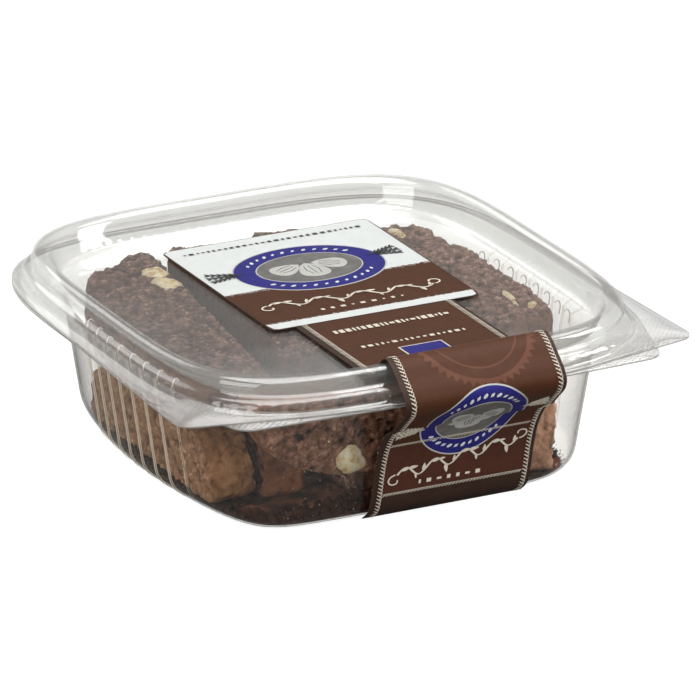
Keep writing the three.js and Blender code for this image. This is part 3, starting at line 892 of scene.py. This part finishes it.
def lay_paper(inks):
    """The folded sheet, its brown ground, and the band low on its strip."""
    field = rounded_rectangle(LABEL_LEFT, LABEL_RIGHT, LABEL_FRONT, LABEL_BACK, LABEL_CORNER)
    strip = rectangle(STRIP_LEFT, STRIP_RIGHT, ROUTE_END, LABEL_FRONT + 2)
    sheet = printed("label_sheet", [field, strip], 0, inks["margin"], LABEL_THICKNESS)
    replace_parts(sheet, "label")
    brown = rounded_rectangle(
        PRINT_LEFT, PRINT_RIGHT, PRINT_FRONT, PRINT_BACK, LABEL_CORNER - PRINT_INSET)
    middle = rectangle(ROPE_LEFT, ROPE_RIGHT, FIRST_LINE_Y, LABEL_FRONT)
    printed("label_brown", [brown, middle], 0.03, inks["brown"])
    lower = rectangle(ROPE_LEFT, ROPE_RIGHT, SECOND_LINE_Y, FIRST_LINE_Y)
    printed("label_band", [lower], 0.03, inks["band"])


def print_white(inks):
    """The white field and the white bar before it, each with one ragged edge and grains by it."""
    left, right = PRINT_LEFT, PRINT_RIGHT
    white = [torn_edge(left, right, TORN_Y, PRINT_BACK - 1, 3)]
    white += [rectangle(left + 1, right - 1, PRINT_BACK - 1, PRINT_BACK)]
    bar_edge = [(x, BAR_TOP + y) for x, y in torn_edge(left, right, 0, 0, 5, 0.2)]
    bar_foot = [
        (right - 0.6, PRINT_FRONT + 0.8), (right - 2, PRINT_FRONT),
        (left + 2, PRINT_FRONT), (left + 0.6, PRINT_FRONT + 0.8)]
    white += [[*bar_edge[:-2], *bar_foot][::-1]]
    white += specks(left, right, TORN_Y, 240, 6)
    white += specks(left, right, BAR_TOP + 0.9, 120, 7)
    printed("label_white", white, 0.06, inks["white"])


def print_badges(inks):
    badges = [badge_shapes(*place) for place in BADGES]
    for part, lift, ink in BADGE_LAYERS:
        shapes = [shape for badge in badges for shape in badge[part]]
        printed("badge_" + part, shapes, lift, inks[ink])


def print_ornaments(inks):
    """Rope borders, vines, rows of dashes and leaf sprigs."""
    cream = []
    for x in (ROPE_LEFT, ROPE_RIGHT):
        cream += rope((x, LABEL_FRONT - 0.4), (x, ROUTE_END), ROPE_WIDTH, 1.25)
    for y in (FIRST_LINE_Y, SECOND_LINE_Y):
        cream += rope((ROPE_LEFT + 1, y), (ROPE_RIGHT - 1, y), 1, 1.15)
    cream += vine(-18.5, 34.5, 0.6, -3.6, 7, 0.75)
    cream += dash_row(-5.8, 22.3, -8.9, 1.3, 11, 2.2)
    cream += dash_row(-11.4, 26, -28.4, 2.4, 12)
    cream += dash_row(-9.6, 24.8, -43, 1.5, 13, 1.1)
    cream += vine(-11.5, 27.5, -133, -127, 6.4, 0.65)
    cream += dash_row(-4, 18, -136.6, 1.3, 14, 1.9)
    cream += sprig_fan(-6.5, -114.5, 9, (164, 180, 196), 1)
    cream += sprig_fan(22.5, -109.5, 8, (28, 12, -4), 1)
    printed("label_cream", cream, ORNAMENT_LIFT, inks["cream"], ORNAMENT_DEPTH)
    dark = dash_row(-22, 36.5, 52, 1.3, 15, 1.1)
    dark += sprig_fan(-13, 29, 12, (160, 176, 192), 1.1)
    dark += sprig_fan(28.4, 28, 11, (20, 4, -12), 1.1)
    printed("label_ink", dark, ORNAMENT_LIFT, inks["ink"], ORNAMENT_DEPTH)


def print_block(inks):
    printed("label_block_edge", [rectangle(0, 14.4, -60, -47.6)], 0.09, inks["cream"])
    printed("label_block", [rectangle(0.5, 13.9, -60.4, -48.1)], 0.12, inks["indigo"])


def print_sun(inks):
    """A faint ring with a toothed rim."""
    turns = [180 * i / SUN_TEETH for i in range(2 * SUN_TEETH)]
    rim = [polar(turn, 20.6 if i % 2 else 18.8) + SUN for i, turn in enumerate(turns)]
    printed("sun_rim", [rim], 0.05, inks["faint"], SUN_DEPTH)
    for part, radius, lift, ink in SUN_CIRCLES:
        printed("sun_" + part, [ellipse(*SUN, radius, radius)], lift, inks[ink], SUN_DEPTH)


# The biscotti

def slice_turn(place):
    turn = (radians(place.roll), 0, radians(place.heading))
    return Euler(turn, "XYZ").to_matrix()


def dough_relief(at, across, base, seed):
    """How far the dough stands out at a place in a slice: at is local, across is 1 on a cut face
    and 0 on the crust, and base is 1 on the flat underside."""
    shifted = at + Vector((seed * 17.3, seed * 5.1, seed * 9.7))
    lumps = noise.noise(shifted * 0.13)
    crumbs = noise.fractal(shifted * 0.42, 0.8, 2.1, 4)
    pores = noise.voronoi(shifted * 0.3)[0][0]
    pits = min(pores - 0.42, 0) * 2.6
    grain = noise.noise(shifted * 1.3)
    cut_face = min(0.4 * lumps + 0.85 * crumbs + 1.3 * pits + 0.45 * grain + 0.2, 0.95)
    crack = -max(0.05 - abs(noise.noise(shifted * 0.1 + Vector((7, 3, 1)))), 0) / 0.05
    crust = 0.6 * lumps + 0.35 * crumbs + 0.35 * crack
    under = 0.12 * crumbs + 0.1 * lumps
    return across * cut_face + (1 - across) * ((1 - base) * crust + base * under)


def under_almond(local, almonds):
    """How near a place on a cut face is to the middle of an almond bit: 1 at it, 0 outside."""
    nearest = 0
    for x, y, half_long, half_wide, angle, face in almonds:
        if local.z * face > 0:
            way = Vector((local.x - x, local.y - y)) @ Matrix.Rotation(radians(angle), 2)
            reach = math.hypot(way.x / half_long, way.y / half_wide)
            nearest = max(nearest, 1.2 - reach)
    return min(nearest * 5, 1)


def build_biscotto(name, place, number, material):
    """The slice in its solid's place, with crumb relief; number picks its own relief."""
    voxel = CRUMB_VOXEL if name.endswith(SEEN_CLOSE) else HIDDEN_VOXEL
    work = linked_object(name + "_work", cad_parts[name].data.copy())
    remesh = work.modifiers.new("voxels", "REMESH")
    remesh.mode = "VOXEL"
    remesh.voxel_size = voxel * MM
    smooth = work.modifiers.new("smooth", "SMOOTH")
    smooth.factor = 0.5
    smooth.iterations = 6
    mesh = bpy.data.meshes.new_from_object(work.evaluated_get(bpy.context.evaluated_depsgraph_get()))
    bpy.data.objects.remove(work)
    mesh.name = name + "_crumb"
    mesh.materials.clear()

    turn = slice_turn(place)
    back = turn.transposed()
    at = Vector(place.at)
    cut = []
    relief = []
    moved = []
    for vertex in mesh.vertices:
        local = back @ (vertex.co / MM - at)
        normal = back @ vertex.normal
        across = min(max((abs(normal.z) - 0.45) / 0.35, 0), 1)
        base = min(max((-normal.y - 0.6) / 0.3, 0), 1)
        out = dough_relief(local, across, base, number)
        if across > 0:
            bare = under_almond(local, place.almonds)
            out = (1 - bare) * out + bare * min(out, -0.25)
        moved.append(vertex.co + vertex.normal * out * MM)
        cut.append(across)
        relief.append(0.5 + out * 0.5)
    for vertex, new_place in zip(mesh.vertices, moved):
        vertex.co = new_place
    for key, values in (("cut", cut), ("relief", relief)):
        mesh.attributes.new(key, "FLOAT", "POINT").data.foreach_set("value", values)
    mesh.polygons.foreach_set("use_smooth", [True] * len(mesh.polygons))
    piece = riding_piece(name + "_crumb", mesh, material)
    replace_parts(piece, name)


def build_almonds(material):
    """Broken bits of almond, half sunk in the cut faces."""
    bm = bmesh.new()
    count = 0
    for place in SLICES.values():
        turn = slice_turn(place)
        for x, y, half_long, half_wide, angle, face in place.almonds:
            count += 1
            bit = bmesh.ops.create_icosphere(bm, subdivisions=4, radius=1)["verts"]
            depth = face * (place.thickness / 2 - ALMOND_DEPTH + ALMOND_PROUD)
            spin = Euler((0, 0, radians(angle))).to_matrix()
            for vertex in bit:
                rough = 1.05 + 0.34 * noise.noise(vertex.co * 1.3 + Vector((count * 3.1, 0, 0)))
                rough += 0.1 * noise.noise(vertex.co * 3.2 + Vector((0, count * 2.3, 0)))
                size = Vector((half_long, half_wide, ALMOND_DEPTH))
                local = spin @ Vector([s * c * rough for s, c in zip(size, vertex.co)])
                local += Vector((x, y, depth))
                vertex.co = (turn @ local + Vector(place.at)) * MM
    piece_of_lumps("almond_bits", bm, material)


# Crumbs on the floor of the tub

DUST_INSET = 0.1
DUST_THICK = 0.2
LOOSE_CRUMBS = 620
CLINGING_SPECKS = 90


def foot_ring(angle, inset, starts, ways, share=1):
    """A ring on the inside of the tub's round foot, at an angle up from the floor."""
    radius = FOOT_RADIUS - PLASTIC - inset
    z = FOOT_RADIUS - radius * cos(radians(angle))
    out = DRAFT * z + radius * sin(radians(angle)) - FOOT_RADIUS
    points = on_outline(grown(WALL, out), starts, ways) * share
    return np.column_stack([points, np.full(len(points), z)])


def build_dust(material):
    starts, ways = even_columns(200)
    rings = [(0, share) for share in (0.1, 0.5, 0.9)] + [(angle, 1) for angle in range(0, 61, 6)]
    below = [foot_ring(angle, DUST_INSET, starts, ways, share) for angle, share in rings]
    above = [foot_ring(angle, DUST_INSET + DUST_THICK, starts, ways, share) for angle, share in rings]
    points, faces = loft(below + above[::-1])
    mesh_piece("crumb_dust", points, faces, material)


def lump(bm, centre, size, draw, subdivisions=2):
    """An uneven crumb at a place, in millimetres."""
    stretch = Vector((draw.uniform(0.7, 1.3), draw.uniform(0.7, 1.3), draw.uniform(0.6, 1)))
    spin = Euler([draw.uniform(0, 6.28) for _ in range(3)]).to_matrix()
    shift = Vector([draw.uniform(0, 90) for _ in range(3)])
    for vertex in bmesh.ops.create_icosphere(bm, subdivisions=subdivisions, radius=1)["verts"]:
        rough = 1 + 0.55 * noise.noise(vertex.co * 1.7 + shift)
        way = Vector([c * s * rough * size for c, s in zip(vertex.co, stretch)])
        vertex.co = (Vector(centre) + spin @ way) * MM


def piece_of_lumps(name, bm, material):
    for face in bm.faces:
        face.smooth = True
    bmesh_piece(name, bm, material)


def floor_height(out):
    """Height of the tub's inside at a distance out from the wall's foot line."""
    radius = FOOT_RADIUS - PLASTIC
    beyond = min(max(out + FOOT_RADIUS, 0), radius * 0.95)
    return FOOT_RADIUS - math.sqrt(radius**2 - beyond**2)


def build_crumbs(material):
    """Loose crumbs, most of them along the foot of the front and left walls."""
    draw = random.Random(31)
    bm = bmesh.new()
    for _ in range(LOOSE_CRUMBS):
        turn = draw.choice([draw.uniform(0, 360), draw.uniform(170, 300), draw.gauss(248, 22)])
        size = min(0.35 + draw.expovariate(1 / 0.5), 2.4)
        out = -3.6 - 1.3 * size - min(draw.expovariate(1 / 4), 22)
        x, y = on_outline(grown(WALL, out), np.zeros((1, 2)), polar(turn)[None])[0]
        lump(bm, (x, y, floor_height(out) + size * 1.25), size, draw)
    piece_of_lumps("loose_crumbs", bm, material)


def build_specks(material):
    """Specks of almond and flour that cling to the inside of the front wall."""
    draw = random.Random(47)
    bm = bmesh.new()
    for _ in range(CLINGING_SPECKS):
        x = draw.choice([draw.uniform(-54, 54), draw.gauss(-40, 4), draw.gauss(-24, 6)])
        z = draw.choice([draw.uniform(3, 34), draw.gauss(9, 3), draw.gauss(20, 3)])
        z = max(z, 3)
        size = min(0.07 + draw.expovariate(1 / 0.06), 0.3)
        y = -(WALL.y + wall_out(z) - WALL.bow_y * x * x - PLASTIC - size * 1.4)
        if abs(x) < 53:
            lump(bm, (x, y, z), size, draw, 1)
    piece_of_lumps("clinging_specks", bm, material)


# The stage

BACK_AZIMUTH = -0.46852
ELEVATION = 0.35758
DISTANCE = 2.5
TARGET = Vector((0.00829, 0, 0.0287))
FOCAL_PIXELS = 8311.3
IMAGE_PIXELS = 700
SENSOR = 36
FLOOR_SIZE = 6
FAR_FLOOR = (0.12, 0.18)
# The lamps aim at the pack from here, in degrees and metres; those not matt only show in shine
Lamp = namedtuple("Lamp", "azimuth elevation distance size power matt")
LAMPS = {
    "overhead": Lamp(78, 60, 1.4, 0.6, 5, True),
    "rim_sheen": Lamp(10, 82, 1.4, 1.5, 36, False),
    "pale_side": Lamp(-158, 24, 1.6, 1.2, 2.6, False),
    "right_front": Lamp(58, 24, 1.6, 0.7, 13, True),
    "left_front": Lamp(-62, 20, 1.6, 1.2, 14, True),
    "left_back": Lamp(-172, 38, 1.7, 0.7, 3, True),
}


def aimed(name, data, azimuth, elevation, distance, target):
    """A camera or lamp that looks at the target; azimuth 0 is in front, and 90 degrees right."""
    holder = linked_object(name, data)
    way = Vector((
        sin(azimuth) * cos(elevation),
        -cos(azimuth) * cos(elevation),
        sin(elevation)))
    holder.location = target + way * distance
    holder.rotation_euler = way.to_track_quat("Z", "Y").to_euler()
    return holder


def build_camera():
    lens = bpy.data.cameras.new("camera")
    lens.sensor_width = SENSOR
    lens.lens = FOCAL_PIXELS * SENSOR / IMAGE_PIXELS
    lens.clip_end = 100
    bpy.context.scene.camera = aimed("camera", lens, BACK_AZIMUTH, ELEVATION, DISTANCE, TARGET)


def build_floor():
    """A floor that the camera sees bright and other rays see dim. Far behind the pack it is bright
    in a mirrored ray too."""
    material, tree = empty_material("pale_floor")
    matt = node(tree, "BsdfDiffuse", {"Color": (0.3, 0.3, 0.3, 1)})
    glow = node(tree, "Emission", {"Color": WHITE, "Strength": 0.93})
    bright = node(tree, "AddShader", {0: matt.outputs[0], 1: glow.outputs[0]})
    dim = node(tree, "BsdfDiffuse", {"Color": (0.24, 0.23, 0.22, 1)})
    far_glow = node(tree, "Emission", {"Color": WHITE, "Strength": 0.9})
    path = node(tree, "LightPath").outputs
    behind = mapped(tree, object_place(tree)["Y"], *FAR_FLOOR)
    behind = maths(tree, "MULTIPLY", behind, path["Is Glossy Ray"])
    mirrored = mixed_shaders(tree, behind, dim, far_glow)
    finish_material(material, mixed_shaders(tree, path["Is Camera Ray"], mirrored, bright))
    mesh = bpy.data.meshes.new("floor")
    corners = rectangle(-FLOOR_SIZE, FLOOR_SIZE, -FLOOR_SIZE, FLOOR_SIZE)
    mesh.from_pydata([(x, y, 0) for x, y in corners], [], [(0, 1, 2, 3)])
    new_object("floor", mesh, material)


def build_world():
    """White to the camera, a softly lit room to the pack, and a sky with a dark band in its shine."""
    world = bpy.data.worlds.new("soft_white")
    bpy.context.scene.world = world
    world.use_nodes = True
    tree = world.node_tree
    tree.nodes.clear()
    path = node(tree, "LightPath").outputs
    sky = node(tree, "SeparateXYZ", {0: node(tree, "TexCoord").outputs["Generated"]})
    bright, dark = (0.62, 0.62, 0.615, 1), (0.33, 0.32, 0.31, 1)
    mirrored = ramp(tree, sky.outputs["Z"], [(0.12, bright), (0.26, dark), (0.42, dark), (0.7, bright)])
    shine = node(tree, "Background", {"Color": mirrored})
    room = node(tree, "Background", {"Color": (1, 0.99, 0.97, 1), "Strength": 0.46})
    white = node(tree, "Background", {"Color": WHITE})
    lit = mixed_shaders(tree, path["Is Glossy Ray"], room, shine)
    mix = mixed_shaders(tree, path["Is Camera Ray"], lit, white)
    node(tree, "OutputWorld", {"Surface": mix.outputs[0]})


def build_lights():
    for name, place in LAMPS.items():
        lamp = bpy.data.lights.new(name, "AREA")
        lamp.size = place.size
        lamp.energy = place.power
        turn, rise = radians(place.azimuth), radians(place.elevation)
        holder = aimed(name, lamp, turn, rise, place.distance, Vector())
        holder.visible_diffuse = place.matt


bpy.context.scene.view_settings.view_transform = "Standard"
bpy.context.scene.cycles.transparent_max_bounces = 40
build_camera()
build_floor()
build_world()
build_lights()
# The cut edge's grey is painted light and shade, standing in for the way light gathers and bends at the
# sheet's edge.
cut_edge_light_paint = painted_light_plastic("plastic_edge_painted_light", "#B9B8B4", "#D8D8D4", 0.35)
tub_lines = (TUB_TAB, 1.6, (50, -50), TUB_FLANGE_Z, 1)
# The ribs' front flanks get a white share that is a painted highlight, standing in for the light they
# catch.
rib_painted_highlight = painted_light_plastic("rib_painted_highlight", "#EAE4D8", "#FFF4E2", 0.5)
build_tub(
    clear_plastic("tub_plastic", 0.006, "#FEFEFD", tub_lines),
    rib_painted_highlight,
    clear_plastic("tub_flange_plastic", 0.035, "#F8F8F7", tub_lines),
    cut_edge_light_paint)
# The hooks' near-white is a painted highlight, standing in for the light their curls catch.
build_rib_hooks(painted_light_plastic("hook_painted_highlight", "#EAE4D8", "#FFF6EA", 0.85))
lid_lines = (LID_TAB, 1.3, (38, 128), LID_FLANGE_Z, 0.5)
build_lid(
    clear_plastic("lid_plastic", 0.025, "#FBFBFA", lid_lines),
    clear_plastic("lid_rim_plastic", 0.048, "#F4F4F3", lid_lines),
    cut_edge_light_paint)
inks = {name: print_material("print_" + name, *look) for name, look in INKS.items()}
for build_part in (lay_paper, print_white, print_badges, print_ornaments, print_block, print_sun):
    build_part(inks)
doughs = {name: biscuit_material(*look) for name, look in DOUGHS.items()}
plain_dough = biscuit_material("chocolate_biscuit", (0.96, 0.89, 0.84, 1))
for number, (name, place) in enumerate(SLICES.items()):
    build_biscotto("biscotto_" + name, place, number + 1, doughs.get(name, plain_dough))
almonds = almond_material()
build_almonds(almonds)
build_dust(dust_material())
build_crumbs(biscuit_material("crumb_biscuit", (3, 2, 1.3, 1)))
build_specks(almonds)
